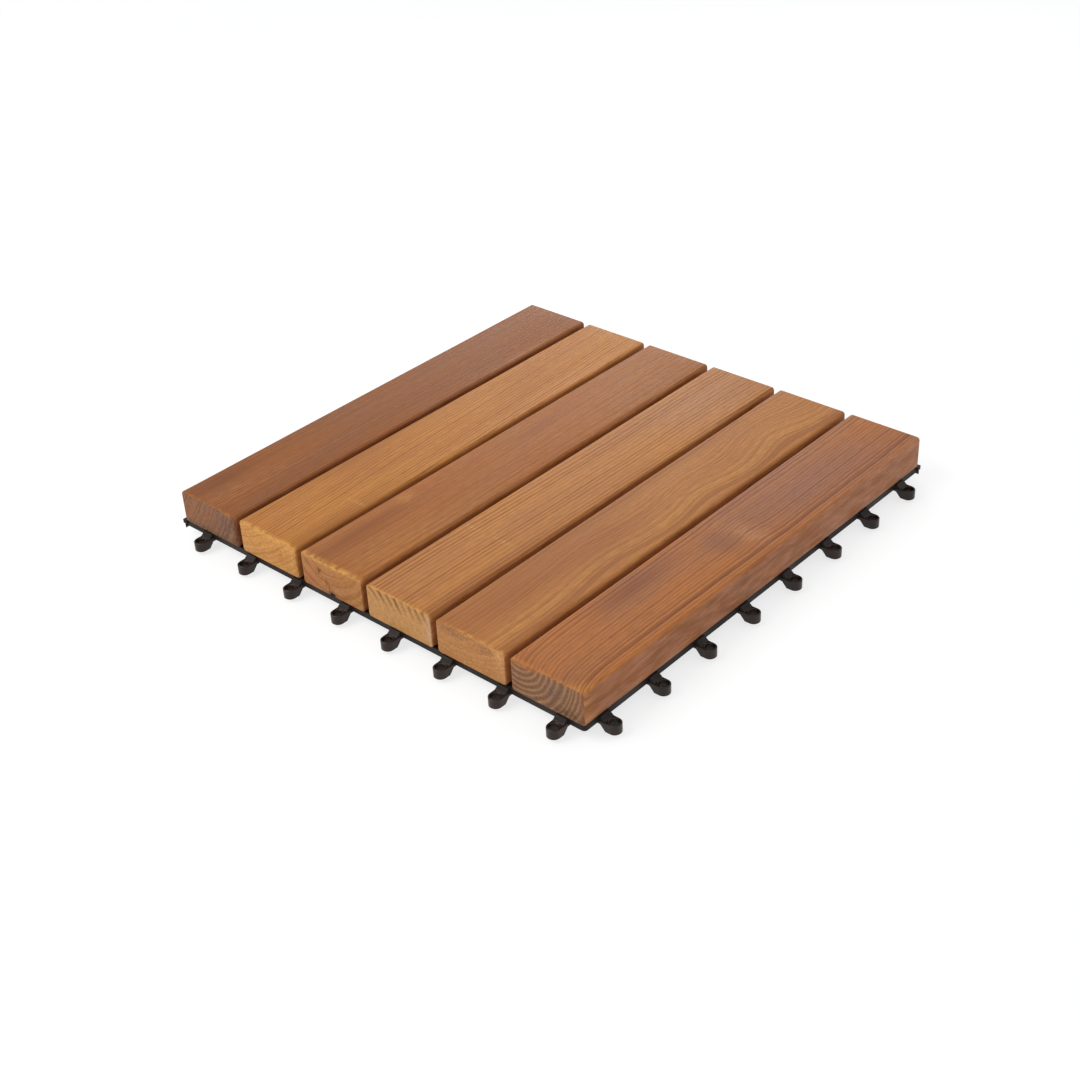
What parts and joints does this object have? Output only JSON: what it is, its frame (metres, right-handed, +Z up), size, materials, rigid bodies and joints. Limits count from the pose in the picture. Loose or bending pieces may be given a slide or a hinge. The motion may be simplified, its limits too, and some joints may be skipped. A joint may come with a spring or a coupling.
{
  "type": "interlocking deck tile",
  "caption": "Square deck tile of hardwood slats on a moulded plastic base, with loops and pins along its sides that join it to the next tiles.",
  "frame": {"origin": "centre of the slat field, at ground level under the middle foot", "axes": "+Z up out of the slats, slats along Y, loops on the -Y and +X sides, pins on the +Y and -X sides"},
  "size_m": [0.3091, 0.3091, 0.03],
  "materials": {
    "base_plastic": "satin",
    "screw_steel": "satin",
    "wood_1": "oiled",
    "wood_2": "oiled",
    "wood_3": "oiled",
    "wood_4": "oiled",
    "wood_5": "oiled",
    "wood_6": "oiled"
  },
  "bodies": {
    "root": {"base_grid": "base_plastic", "fixing_screws": "screw_steel", "slat_1": "wood_1", "slat_2": "wood_2", "slat_3": "wood_3", "slat_4": "wood_4", "slat_5": "wood_5", "slat_6": "wood_6"}
  },
  "joints": []
}
